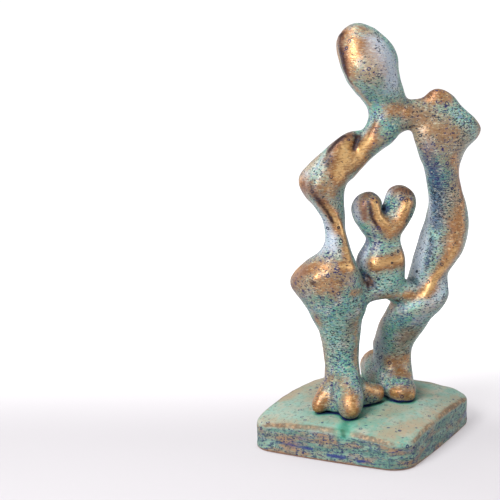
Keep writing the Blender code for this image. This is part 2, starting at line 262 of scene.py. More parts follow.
def modelling_marks():
    """Rows of dashes, flattened curls, small rings and a few larger pits, cut in the clay before
    casting. Rings are where the distance to a random point in each cell is near a set radius."""
    group, given, out = new_group(
        "modelling_marks", ["Strokes", "Rings"], ["Marks", "Pits", "Height"]
    )
    share = given.outputs["Strokes"]
    place = put(group, "TexCoord").outputs["Object"]
    bend = vector(group, "SUBTRACT", grain(group, place, 300.0, 1.0)["Color"])[0]
    bend = put(group, "VectorMath", {0: bend, "Scale": 0.0012}, operation="SCALE").outputs[0]
    bent = vector(group, "ADD", place, bend)[0]
    flat = flattened(group, bent, 1.6)
    dashes = level_rows(group, bent, 0.0013, times(group, share, 0.55))
    strokes = calc(group, "MAXIMUM", curls(group, flat, 440.0, share), dashes)
    fine = grain(group, flat, 800.0, 1.0)["Fac"]
    fine = mul_add(group, share, 0.10, fine)
    strokes = calc(group, "MAXIMUM", strokes, fade(group, fine, 0.70, 0.74))

    cells = put(group, "TexVoronoi", {"Vector": bent, "Scale": 250.0})
    pick = channels(group, cells.outputs["Color"])
    radius = mul_add(group, pick[1], 0.12, 0.16)
    band = calc(group, "ABSOLUTE", calc(group, "SUBTRACT", cells.outputs["Distance"], radius))
    chosen = mul_add(group, given.outputs["Rings"], 0.7, pick[0])
    rings = times(group, fade(group, band, 0.085, 0.045), fade(group, chosen, 0.90, 0.92))

    wide = put(group, "TexVoronoi", {"Vector": place, "Scale": 92.0})
    pick = channels(group, wide.outputs["Color"])
    off = calc(group, "SUBTRACT", wide.outputs["Distance"], 0.105)
    chosen = mul_add(group, given.outputs["Rings"], 0.35, pick[0])
    chosen = fade(group, chosen, 0.86, 0.88)
    raised = times(group, fade(group, calc(group, "ABSOLUTE", off), 0.04, 0.012), chosen)
    hole = times(group, fade(group, off, -0.015, -0.045), chosen)

    marks = calc(group, "MAXIMUM", strokes, rings)
    height = times(group, marks, -1.0)
    height = mul_add(group, raised, 1.6, height)
    height = mul_add(group, hole, -2.0, height)
    group.links.new(marks, out.inputs["Marks"])
    group.links.new(hole, out.inputs["Pits"])
    group.links.new(height, out.inputs["Height"])
    return group


def turned_lines():
    """Rows of dashes 2.4 mm apart, as a comb leaves them."""
    group, given, out = new_group("turned_lines", ["Amount"], ["Lines"])
    place = put(group, "TexCoord").outputs["Object"]
    rows = level_rows(group, place, 0.0024, given.outputs["Amount"])
    group.links.new(rows, out.inputs["Lines"])
    return group


def dry_brush():
    """Paint rubbed on nearly dry: its cover follows its thickness, roughened by a coarse and a
    fine noise, so that it thins out through a grainy haze."""
    group, given, out = new_group("dry_brush", ["Thickness"], ["Cover"])
    place = put(group, "TexCoord").outputs["Object"]
    coarse = grain(group, place, 130.0, 2.0)["Fac"]
    fine = grain(group, flattened(group, place, 2.2), 620.0, 3.0)["Fac"]
    sum_of = mul_add(group, coarse, 0.5, given.outputs["Thickness"])
    sum_of = mul_add(group, fine, 0.7, sum_of)
    cover = fade(group, sum_of, 0.66, 1.42)
    some = fade(group, given.outputs["Thickness"], 0.02, 0.16)
    group.links.new(times(group, cover, some), out.inputs["Cover"])
    return group


groups = {"marks": modelling_marks(), "lines": turned_lines(), "brush": dry_brush()}


def grouped(tree, key, **given):
    return put(tree, "Group", given, node_tree=groups[key]).outputs


def layer_of(tree, name):
    return put(tree, "Attribute", attribute_name=name).outputs["Fac"]


def cover_of(tree, name):
    """Where a brushed layer covers what lies under it."""
    return grouped(tree, "brush", Thickness=layer_of(tree, name))["Cover"]


def satin_paint(name, rough):
    """A new material with a painted, varnished shader and its own Object coordinates."""
    material = bpy.data.materials.new(name)
    material.use_nodes = True
    tree = material.node_tree
    shader = tree.nodes["Principled BSDF"]
    shader.inputs["Roughness"].default_value = rough
    shader.inputs["Coat Weight"].default_value = 0.08
    shader.inputs["Coat Roughness"].default_value = 0.4
    shader.inputs["Specular IOR Level"].default_value = 0.3
    return material, tree, shader, put(tree, "TexCoord").outputs["Object"]


plinth_points = plinth_rings()
shape = plinth_points.shape
flat_points = plinth_points.reshape(-1, 3)
wall = np.clip((plinth_top(*flat_points[:, :2].T) - flat_points[:, 2]) / 2.2, 0, 1)
wall = wall.reshape(shape[:2])
around = np.roll(plinth_points, -1, axis=1) - np.roll(plinth_points, 1, axis=1)
facing = np.cross(around, np.gradient(plinth_points, axis=0))
facing /= np.maximum(np.linalg.norm(facing, axis=2), 1e-9)[..., None]
drag = unevenness(flat_points, 5.0, 3, (9.0, 9.0, 0.8)).reshape(shape[:2])
lumps = unevenness(flat_points, 16.0, 5).reshape(shape[:2])
lift = 0.10 * wall * drag + 0.16 * lumps
# The underside and the foot stay even.
lift[:6] = 0
plinth_points = plinth_points + facing * lift[..., None]
ends = [(0, 0, 0), (0, 0, plinth_top(0.0, 0.0))]
flat_points = np.vstack([plinth_points.reshape(-1, 3), ends])
below_top = plinth_top(*flat_points[:, :2].T) - flat_points[:, 2]
share = np.max(np.abs(flat_points[:, :2]) / half_size, axis=1)
# Gold is rubbed on where the walls turn into the top, and thins out over 1 to 2 mm.
from_edge = np.hypot(np.clip(below_top - 0.9, 0, 30), np.clip(0.985 - share, 0, 1) * 50 / 2.1)
rim_gold = np.exp(-(from_edge**2)) * (0.75 + 0.25 * unevenness(flat_points, 26.0, 9))
tan_smears = [
    ((-31, -33, 20), (-1, -28, 21), 11, 0.8), ((-36, -44, 18), (16, -44, 19), 8, 0.7),
    ((23, 23, 21), (9, 26, 22), 9, 0.55), ((13, -26, 22), (0, -35, 21), 9, 0.6),
    ((50, -28, 18), (34, 40, 18), 5, 0.4), ((46, 34, 18), (20, 46, 18), 9, 0.65),
    ((20, 45, 18), (-30, 45, 18), 7, 0.5), ((48, -42, 18), (52, -20, 18), 6, 0.55),
    ((-50, -30, 18), (-50, 30, 18), 7, 0.5), ((-30, 20, 20), (-20, 36, 20), 9, 0.4),
]
emerald_wash = [
    ((44, 8, 21), (53, 11, 19), 6, 0.7), ((53, 10, 19), (57, 13, 15), 2.5, 0.9),
    ((40, -16, 21), (50, 2, 20), 6, 0.2), ((-34, -27, 20), (-8, -10, 22), 5, 0.5),
    ((14, 18, 22), (44, 20, 21), 7, 0.2), ((10, 22, 22), (8, 36, 22), 8, 0.2),
]
ink_lines = [
    ((55, 23, 16), (55, 27, 13), 0.7, 1.0), ((55, 28, 9), 0.8, 1.0), ((55, 27, 4), 0.7, 1.0),
    ((55, 20, 3), 0.9, 1.0), ((55, 12, 4), (55, 2, 4), 1.2, 0.9),
    ((56, 10, 14), (56, 9, 8), 1.4, 0.5), ((55, -8, 6), (55, -38, 7), 1.1, 0.8),
    ((46, 50, 13), (16, 51, 11), 1.3, 0.7), ((48, 50, 5), (10, 51, 4), 1.3, 0.8),
    ((55, 11, 18), (56, 14, 16), 1.2, 1.0), ((-8, -51, 10), (10, -51, 9), 2.5, 0.5),
    ((22, -51, 5), (34, -51, 6), 1.6, 0.8), ((-46, -50, 3), (-20, -51, 3), 1.0, 0.6),
    ((30, -51, 12), (44, -50, 11), 2.0, 0.5),
]
quads, fans = tube_faces(shape[0], shape[1])
plinth = piece_from(
    "plinth_skin",
    flat_points,
    quads.tolist() + fans.tolist(),
    {
        "wall": np.clip((below_top - 1.4) / 1.2, 0, 1),
        "rim": rim_gold,
        "foot": np.exp(-((flat_points[:, 2] / 1.2) ** 2)),
        "tan": brushed(flat_points, tan_smears),
        "emerald": brushed(flat_points, emerald_wash),
        "inked": brushed(flat_points, ink_lines),
    },
)

material, tree, shader, place = satin_paint("plinth_patina", 0.6)
# The top is a cloudy turquoise with dark and brown specks, smeared with tan.
cloud = grain(tree, place, 32.0, 3.0)["Fac"]
small_cloud = grain(tree, place, 110.0, 4.0)["Fac"]
top = over(tree, fade(tree, cloud, 0.36, 0.64), (96, 140, 126), (124, 152, 140))
top = over(tree, fade(tree, small_cloud, 0.44, 0.70), top, (146, 150, 136))
speck = channels(tree, grain(tree, place, 420.0, 4.0)["Color"])
top = over(tree, fade(tree, speck[0], 0.52, 0.70), top, (84, 112, 104), 0.7)
top = over(tree, fade(tree, speck[1], 0.54, 0.72), top, (152, 134, 108), 0.7)
top = over(tree, cover_of(tree, "tan"), top, (148, 124, 98), 0.75)
# The walls are turquoise in level streaks, broken by brown, violet grey and dark blue.
level = flattened(tree, place, 3.5)
patch = channels(tree, grain(tree, level, 52.0, 4.0)["Color"])
streak = channels(tree, grain(tree, level, 300.0, 4.0)["Color"])
side = over(tree, fade(tree, patch[0], 0.40, 0.62), (84, 118, 106), (118, 148, 134))
side = over(tree, fade(tree, patch[1], 0.43, 0.63), side, (134, 110, 86))
side = over(tree, fade(tree, patch[2], 0.56, 0.80), side, (92, 92, 128))
side = over(tree, fade(tree, streak[0], 0.56, 0.70), side, (132, 128, 108))
side = over(tree, fade(tree, streak[1], 0.52, 0.66), side, (46, 60, 92))
side = over(tree, fade(tree, speck[0], 0.50, 0.66), side, (40, 66, 72), 0.7)
colour = over(tree, layer_of(tree, "wall"), top, side)
# Over both lie blue marks and lines, gold on the rim, emerald and blue round the soles.
strokes = mul_add(tree, layer_of(tree, "wall"), 0.5, 0.12)
marks = grouped(tree, "marks", Strokes=strokes, Rings=0.10)
colour = over(tree, marks["Marks"], colour, (22, 30, 76), 0.9)
colour = over(tree, cover_of(tree, "inked"), colour, (30, 38, 104), 0.9)
gold = cover_of(tree, "rim")
rim_tone = over(tree, fade(tree, speck[2], 0.45, 0.65), (92, 62, 40), (148, 112, 78))
colour = over(tree, gold, colour, rim_tone, 0.8)
washed = calc(tree, "MAXIMUM", layer_of(tree, "emerald"), layer_of(tree, "run_off"))
emerald = grouped(tree, "brush", Thickness=washed)["Cover"]
green = over(tree, fade(tree, washed, 0.35, 0.9), (72, 154, 132), (8, 84, 62))
colour = over(tree, emerald, colour, green, 0.9)
line = fade(tree, layer_of(tree, "run_off"), 0.84, 0.95)
line = times(tree, line, fade(tree, small_cloud, 0.36, 0.52))
colour = over(tree, line, colour, (24, 34, 88))
foot = fade(tree, layer_of(tree, "foot"), 0.3, 0.8)
colour = over(tree, foot, colour, (128, 88, 62))
tree.links.new(colour, shader.inputs["Base Color"])
tree.links.new(times(tree, gold, 0.2), shader.inputs["Metallic"])
height = mul_add(tree, small_cloud, 0.6, marks["Height"])
height = mul_add(tree, streak[1], times(tree, layer_of(tree, "wall"), 2.0), height)
bump = put(tree, "Bump", {"Height": height, "Strength": 0.5, "Distance": 0.0003})
tree.links.new(bump.outputs[0], shader.inputs["Normal"])
plinth.data.materials.append(material)
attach(plinth, "root")
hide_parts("plinth")


# Figure group
# Parent and child are one resin casting, modelled first in clay: a head and neck, shoulders, two
# arms that run down into hips, legs and feet, and a child with a heart for a head between them.
# The limbs are drawn one by one and melted into one skin, then marked and painted by hand.


def smooth_curve(rows, per_span=8):
    """A Catmull-Rom curve through the rows: in each span a cubic whose slope at a row is half the
    difference of the rows on either side of it."""
    rows = np.array(rows, float)
    padded = np.vstack([2 * rows[0] - rows[1], rows, 2 * rows[-1] - rows[-2]])
    a, b, c, d = (padded[k : k + len(rows) - 1, None] for k in range(4))
    t = np.linspace(0, 1, per_span, endpoint=False)[None, :, None]
    curve = (
        b
        + 0.5 * t * (c - a)
        + t**2 * (a - 2.5 * b + 2 * c - 0.5 * d)
        + t**3 * (1.5 * (b - c) + 0.5 * (d - a))
    )
    return np.vstack([curve.reshape(-1, rows.shape[1]), rows[-1:]])


def oval(half_a, half_b, squareness):
    """Superellipses of the given half widths, 96 points each; 2 is an ellipse, more is boxier."""
    turn = np.linspace(0, 2 * np.pi, 96, endpoint=False)[None]
    power = 2 / squareness
    return (
        np.maximum(half_a, 0.4) * np.sign(np.cos(turn)) * np.abs(np.cos(turn)) ** power,
        np.maximum(half_b, 0.4) * np.sign(np.sin(turn)) * np.abs(np.sin(turn)) ** power,
    )


def level_limb(stations, squareness=2.0, ridges=()):
    """Level ovals along a centre line; a station is x, y, z, half widths a and b (mm), and the turn
    of a (degrees), 12 unless given. A ridge is rows of height, bearing and rise, and its width in
    degrees: it adds its rise times a bell curve of the bearing, less a quarter all round."""
    rows = smooth_curve([(*station, 12)[:6] for station in stations])
    x, y, z, half_a, half_b, turn = rows.T[..., None]
    p, q = oval(half_a, half_b, squareness)
    turn = np.radians(turn)
    dx, dy = p * np.cos(turn) - q * np.sin(turn), p * np.sin(turn) + q * np.cos(turn)
    bearing = np.degrees(np.arctan2(dy, dx))
    swell = np.zeros_like(dx)
    for rows, width in ridges:
        height, way, rise = np.array(sorted(rows), float).T
        off = (bearing - np.interp(z, height, way) + 180) % 360 - 180
        rise = np.interp(z, height, rise, left=0, right=0)
        swell += rise * (np.exp(-((off / width) ** 2)) - 0.25)
    grow = 1 + swell / np.maximum(np.hypot(dx, dy), 1.0)
    return np.stack([x + dx * grow, y + dy * grow, z + 0 * dx], axis=2)


def lying_limb(stations, squareness=2.2):
    """Ovals square to a path; a station is x, y, z, half width and half height (mm)."""
    rows = smooth_curve(stations)
    path = rows[:, :3]
    along = np.gradient(path, axis=0)
    along /= np.linalg.norm(along, axis=1)[:, None]
    side = np.cross(along, (0, 0, 1))
    side /= np.linalg.norm(side, axis=1)[:, None]
    rise = np.cross(side, along)
    p, q = oval(rows[:, 3:4], rows[:, 4:5], squareness)
    return path[:, None] + p[..., None] * side[:, None] + q[..., None] * rise[:, None]


def child_station(across, through, height, half_across, half_through):
    """A station given across the group and through it, turned 45 degrees onto the diagonal."""
    half = np.sqrt(0.5)
    x, y = half * (across + through), half * (through - across)
    return x, y, height, half_across, half_through, -45


head_and_neck = level_limb([
    (18.5, 4, 237.4, 1, 0.7), (18.3, 4, 236.6, 5.6, 3.8), (17.5, 4.1, 234.4, 12, 8.2),
    (16.8, 4.6, 231.5, 16.2, 11), (15.2, 5.2, 227.5, 19.6, 14.2), (13.7, 7, 220, 21.9, 16),
    (13.8, 9.4, 212, 23.2, 14.9), (11.9, 10.7, 205.5, 22, 14.2), (7.8, 12.2, 199.5, 18.2, 13),
    (4.8, 14.3, 193.5, 14, 11.4), (5.2, 14.8, 186, 13.8, 9.4), (7.6, 13.6, 179, 13.5, 10.4),
    (10.5, 10.8, 172, 12.8, 9), (13, 4.5, 166, 9.2, 7.9), (16.2, -2.4, 159, 8.4, 8),
    (18.8, -7.4, 151, 7, 7),
], 2.2, [
    ([(196, 2, 0), (204, 2, 1), (220, 2, 1.4), (230, 2, 0.8), (234, 2, 0)], 26),
])
near_side = level_limb([
    (15.6, 2.4, 179.4, 1, 1), (15.9, 1.4, 178.2, 4.2, 4), (17.6, -1, 175.2, 6.8, 6.2),
    (20.4, -3.6, 171, 9.3, 8.6), (21.2, -6.2, 166.6, 11.6, 11), (21.6, -10, 160.5, 14.2, 14.2),
    (23.4, -13.6, 154, 16, 15.3), (25.3, -14.4, 148, 16.5, 13.2), (25.1, -13.2, 142, 14.8, 10.8),
    (24.1, -10.8, 136, 12.2, 8), (23.7, -8.9, 130, 10.2, 6.6), (24.1, -7.6, 124, 9.2, 6.2),
    (25.7, -6, 118, 10.4, 6.8), (28.7, -5.9, 112, 14, 9.6), (30.6, -8.4, 106, 17.2, 15.2),
    (30.3, -10.2, 100, 19.8, 19.3), (29.9, -10.2, 94, 20.2, 20.7), (28.2, -8.2, 88, 18.9, 18.8),
    (26.2, -6.2, 81, 16.8, 16.9), (24.2, -6.3, 74, 14.4, 14.4), (22, -6.2, 67, 12.6, 12.2),
    (20.3, -6.3, 58, 10.9, 10.6), (19.3, -6.2, 48, 10.4, 9.9), (19.8, -5.6, 39, 11.4, 9.9),
    (21, -4, 30, 12.6, 9.8), (21.6, -3.4, 22, 12.6, 9.6), (21.6, -3.4, 17, 10, 7.6),
    (21.6, -3.4, 15, 3, 2),
], 2, [
    ([
        (177, -22, 0), (174, -20, 1.3), (167.5, -7.5, 1.8), (158.8, 10, 1.8), (147.5, 7.5, 1.6),
        (134.8, 38.5, 1.6), (121.3, 62, 1.5), (105.3, 76.5, 1.2), (97, 80, 0),
    ], 24),
    ([(174, 190, 0), (168, 190, 1), (125, 195, 1.2), (112, 195, 0)], 26),
])
far_side = level_limb([
    (-14.6, 36.8, 201, 1, 1, -33), (-15.2, 37.2, 199.4, 5.4, 4.4, -33),
    (-17, 37.4, 195.5, 9.8, 7.4, -33), (-18.9, 37.8, 189.5, 13.3, 9.4, -33),
    (-19.8, 40, 183.5, 18.8, 10.4, -33), (-19.8, 41, 178, 22.8, 11, -33),
    (-19.8, 40.8, 172, 22.2, 11, -26), (-19.3, 38.8, 166, 19.4, 11, -10),
    (-20.6, 37.8, 160, 17.6, 10.4, 2), (-22.3, 37.4, 154, 16.2, 9.8), (-24.2, 37.5, 148, 15, 9.9),
    (-26.1, 38, 142, 14.1, 10.4), (-27.3, 38.7, 136, 13.8, 11.4), (-27.8, 38.8, 130, 13.8, 12.7),
    (-27.8, 38.4, 124, 13.9, 13.8), (-27.3, 37.8, 118, 13.8, 14.8), (-25.8, 37, 112, 13.5, 15.1),
    (-24, 35.5, 106, 12.9, 14.7), (-22.3, 32.8, 100, 11.4, 13.4), (-20.6, 30.6, 94, 10.6, 12),
    (-19, 30.4, 88, 11.8, 12.9), (-15.2, 28.8, 82, 14.2, 15.8), (-11.8, 26.2, 76, 14.8, 15.6),
    (-12, 22, 69, 13, 13.8), (-15.4, 15.8, 60, 12, 13.8), (-18.2, 9.8, 50, 11, 11.9),
    (-19.4, 8.6, 41, 11.4, 11), (-18, 11, 32, 11, 10.2), (-17, 12.5, 22, 11, 10),
    (-17, 12.5, 17, 8, 7), (-17, 12.5, 15, 2, 2),
], 2, [
    ([(136, -107, 0), (130, -107, 1.5), (109, -106, 1.9), (85, -104, 1.2), (78, -103, 0)], 24),
    ([
        (160, -15, 0), (150, -15, 1.5), (139, -12, 1.9), (115, -1, 1.9), (92, 9, 1.2), (84, 11, 0),
    ], 22),
    ([
        (162, 76, 0), (155, 75, 1.3), (120, 60, 1.5), (100, 45, 1.5), (84, 30, 1), (78, 28, 0),
    ], 22),
    ([(76, -77, 0), (69, -77, 1.2), (62, -103, 1.4), (50.7, -97, 1.4), (40, -95, 0)], 26),
])
yoke = lying_limb([
    (11, 9.5, 180, 8, 6), (4, 16, 183.6, 9, 8.4), (-4, 23.5, 186.6, 9, 8.4),
    (-12, 31.5, 185.8, 9.4, 9.6), (-19, 38, 182.5, 9, 9.6),
])
bridge = lying_limb([
    (-20, 32, 78, 9, 6.5), (-12, 25, 81.5, 9.6, 7.6), (-4, 18.5, 86, 9.6, 7.8),
    (2, 13.5, 89.4, 10, 7), (11, 6, 89.6, 10.8, 7.4), (22, -4, 86, 12, 9),
])
child_body = level_limb([child_station(*row) for row in (
    (-5.6, 10.6, 83.5, 11.2, 8.8), (-5.4, 10.6, 92, 12.2, 11.2), (-5.2, 10.6, 101, 12.9, 12.3),
    (-5.2, 10.7, 106.5, 13, 12.2), (-6, 11.4, 111.5, 10.6, 11), (-6.8, 11.8, 119, 8, 10),
    (-6.9, 11.6, 126, 8.9, 9.6), (-6.9, 11.4, 130, 9.4, 9),
)], 3)


def heart_lobe(side, lean, drop):
    """One half of the heart: a bar with a domed top that leans outwards from the neck."""
    rows = (
        (1, 11.2, 118, 6.5, 8.4), (4.6, 11.2, 124.5, 8.2, 9), (8 + lean, 11.2, 131.5, 9, 9.4),
        (9.8 + lean, 11.2, 137.5, 8.9, 9.4), (10 + lean, 11.6, 142, 7.9, 8.6),
        (9.8 + lean, 11.8, 145.2, 5.8, 6.6), (9.6 + lean, 11.8, 147.2, 2.8, 3.4),
        (9.6 + lean, 11.8, 147.8, 0.6, 0.8),
    )
    return level_limb([
        child_station(-6.9 + out * side, mid, up - drop, a, b) for out, mid, up, a, b in rows
    ], 2.5)


far_foot = lying_limb([
    (2, 26.8, 25.4, 4.6, 4.4), (-1.5, 23.4, 26.2, 8, 6.6), (-8, 17.4, 27.4, 9.4, 8),
    (-16, 8, 29.5, 9.6, 12), (-23.5, -1.5, 30.5, 9, 12), (-31.5, -6, 29.5, 9.8, 11.4),
    (-37.3, -11.2, 27.4, 8.9, 9.4), (-41, -15.4, 26.4, 7, 7.2), (-43.2, -18, 25.9, 2.8, 3.4),
])
near_foot = [lying_limb(rows) for rows in (
    [
        (22, -4, 31, 9, 9), (16.5, -9, 29.4, 8, 9), (13, -13, 28, 7, 8), (10.8, -16, 27.2, 5.2, 6),
        (9.8, -17.6, 26.6, 2, 2.4),
    ],
    [
        (20, -1, 31, 9, 9), (14.5, 5, 28.6, 7.6, 7.8), (9, 8.8, 27.4, 6.4, 6.4),
        (4.8, 10.8, 27, 4.8, 5), (3, 11.6, 26.6, 1.8, 2),
    ],
    [
        (20, -4, 40, 8, 9), (27, -7.4, 33.5, 7.2, 8), (34, -10.6, 27.8, 5.6, 6.2),
        (39, -12.8, 24.8, 3.9, 4.2), (41, -13.8, 24.2, 1.4, 1.6),
    ],
    [
        (19, -4, 44, 8, 9), (26.5, 0.2, 36.5, 8.2, 8.8), (33.5, 4.8, 30.8, 8, 8.4),
        (39.5, 8.4, 27.6, 6.8, 7.2), (43, 10.4, 26.6, 4.4, 5), (44.6, 11.2, 26.2, 1.6, 2),
    ],
    [
        (20, -4, 38, 8, 8), (28, -3, 30.5, 8, 8), (34, -2.5, 25.5, 6.5, 5),
        (37, -2.2, 23.5, 3, 2.4),
    ],
)]
heart_band = lying_limb([child_station(*row)[:5] for row in (
    (-16.6, 16.4, 141, 4, 4), (-15.4, 17, 133, 4.4, 4), (-11.5, 17.8, 125, 4.8, 4.4),
    (-6.9, 18, 121.5, 5.2, 4.8), (-2.2, 17.8, 124, 4.8, 4.4), (1.8, 17, 131, 4.4, 4),
    (3, 16.4, 138, 4, 4),
)])
limbs = [
    head_and_neck, near_side, far_side, yoke, bridge, child_body,
    heart_lobe(-1, -0.5, 0.5), heart_lobe(1, 0.1, 3.2), heart_band, far_foot, *near_foot,
]


def melted(limbs, voxel):
    """The limbs as closed tubes, melted into one skin of even quads of the given size (mm).
    Returns its points, quads and edges."""
    points, faces, used = [], [], 0
    for rings in limbs:
        rows, count = rings.shape[:2]
        points.append(rings.reshape(-1, 3))
        points.append(np.stack([rings[0].mean(axis=0), rings[-1].mean(axis=0)]))
        quads, fans = tube_faces(rows, count)
        faces += (quads + used).tolist() + (fans + used).tolist()
        used += rows * count + 2
    raw = piece_from("limbs", np.concatenate(points), faces, {})
    skin = raw.modifiers.new("melt", "REMESH")
    skin.mode = "VOXEL"
    skin.voxel_size = voxel * 0.001
    mesh = bpy.data.meshes.new_from_object(
        raw.evaluated_get(bpy.context.evaluated_depsgraph_get())
    )
    bpy.data.objects.remove(raw)
    points = np.empty(len(mesh.vertices) * 3)
    mesh.vertices.foreach_get("co", points)
    corners = np.empty(len(mesh.loops), int)
    mesh.loops.foreach_get("vertex_index", corners)
    edges = np.empty(len(mesh.edges) * 2, int)
    mesh.edges.foreach_get("vertices", edges)
    bpy.data.meshes.remove(mesh)
    return points.reshape(-1, 3) * 1000, corners.reshape(-1, 4), edges.reshape(-1, 2)


def outward(points, quads):
    """Unit normals: the sum of the cross products of the diagonals of the quads round a point."""
    a, b, c, d = (points[quads[:, k]] for k in range(4))
    cross = np.cross(c - a, d - b)
    around = quads.ravel()
    total = np.stack(
        [np.bincount(around, np.repeat(cross[:, k], 4), len(points)) for k in range(3)], axis=1
    )
    return total / np.maximum(np.linalg.norm(total, axis=1), 1e-12)[:, None]


def relaxed(points, quads, edges, passes, on_ridges=1.0):
    """Each pass moves a point halfway to the mean of its neighbours, but only the share on_ridges
    of that where the move would go inwards, so that hollows fill and ridges stay. Every fourth
    pass works out anew which way is inwards."""
    start, end = edges.T
    shared = np.bincount(edges.ravel(), minlength=len(points))[:, None]
    for number in range(passes):
        mean = np.stack(
            [
                np.bincount(start, points[end, k], len(points))
                + np.bincount(end, points[start, k], len(points))
                for k in range(3)
            ],
            axis=1,
        ) / shared
        move = 0.5 * (mean - points)
        if on_ridges < 1:
            if number % 4 == 0:
                normal = outward(points, quads)
            inwards = (move * normal).sum(axis=1) < 0
            move = move * np.where(inwards, on_ridges, 1.0)[:, None]
        points = points + move
    return points


points, quads, edges = melted(limbs, 0.90)
points = relaxed(points, quads, edges, 6)
points = relaxed(points, quads, edges, 20, 0.6)
# The soles stand 0.3 mm clear of the plinth.
seat = plinth_top(*points[:, :2].T) + 0.3
points[:, 2] = np.maximum(points[:, 2], seat)
normal = outward(points, quads)
broad = relaxed(points, quads, edges, 60)
bulge = ((points - broad) * normal).sum(axis=1)
above = points[:, 2] - seat
# Hand-made unevenness, and ridges raised and creases sunk in the clay, all in mm.
lumps = unevenness(points, 22.0, 11) * 0.22 + unevenness(points, 9.0, 12) * 0.10
raised = [
    # Head
    ((27, 6, 235), (31, -1, 231), 3, 0.8), ((35, 2, 222), 3, 1.0), ((36, 5, 212), 3, 1.0),
    ((34, 7, 206), 3, 0.8),
    # Neck and yoke
    ((20, 15, 183), (22, 9, 172), 3, 0.8), ((-12, 19, 185), (3, 2, 174), 2.6, 0.8),
    ((9, -3, 164), 2.6, 0.7),
    # Near shoulder and arm
    ((22, 9, 172), (25, 4, 163), 3.5, 0.8), ((24, -3, 176), (32, -7, 167), 3, 1.0),
    ((36, -10, 158), 3, 1.0), ((41, -12, 150), 3, 0.9), ((39, -8, 141), 3, 0.9),
    ((33, -4, 133), 2.6, 1.1), ((30, -2, 126), 2.6, 1.1), ((31, 1, 118), 2.6, 1.0),
    ((36, 6, 107), 2.8, 0.9), ((15, -25, 155), (37, -22, 151), 3, 0.7),
    ((16, -15, 150), (17, -11, 121), 2.4, 0.6), ((17, -13, 106), 2.4, 0.7),
    # Far shoulder, arm and hip
    ((-17, 48, 112), (-15, 42, 99), 3, 1.1), ((-5, 35, 87), 2.6, 1.2),
    ((-5, 35, 86), (3, 26, 85), 2.2, 0.6), ((-33, 25, 117), (-26, 21, 106), 3, 0.8),
    ((-20, 16, 84), 2.8, 0.9),
    # Child
    ((17, 14, 105), (7, 24, 107), 2.6, 1.3), ((-9, 11, 109), (-3, 1, 108), 2.6, 0.8),
    ((7, -2, 100), 2.6, 0.8), ((16, 13, 140), (15, 15, 131), 2.4, 1.2), ((10, 19, 123), 2.4, 1.2),
    ((5, 23, 128), 2.4, 1.2), ((3, 27, 138), 2.4, 1.2),
    # Near hip and bridge
    ((49, -10, 101), (44, 2, 105), 3, 0.9), ((36, 7, 107), 3, 1.0), ((29, 10, 103), 3, 0.7),
    # Near leg and foot
    ((33, 0, 39), (41, 9, 32), 3, 0.5),
    # Far leg and foot
    ((-5, 12, 73), (-11, 6, 67), 3, 0.7), ((-20, 0, 55), 3, 1.0),
    ((-19, -2, 50), (-24, -3, 44), 3, 1.0), ((-34, -17, 34), 3.5, 1.0), ((-39, -20, 27), 3, 0.7),
]
sunk = [
    ((17, 3, 180), (20, 4, 175), 2.0, 2.4), ((25, 3, 170), 1.8, 1.8),
    ((1, 14, 31), (3, 22, 31), 1.4, 1.1), ((-2, 27, 31), 1.4, 1.1),
    ((10, 18, 135), (3, 11, 135), 2.2, 2.2), ((17, 8, 98), (18, 13, 93), 1.8, 1.2),
]
lumps = lumps + brushed(points, raised) - brushed(points, sunk)
points = points + normal * (lumps * np.clip(above / 2, 0, 1))[:, None]
points = relaxed(points, quads, edges, 4, 0.5)
points[:, 2] = np.maximum(points[:, 2], plinth_top(*points[:, :2].T) + 0.3)

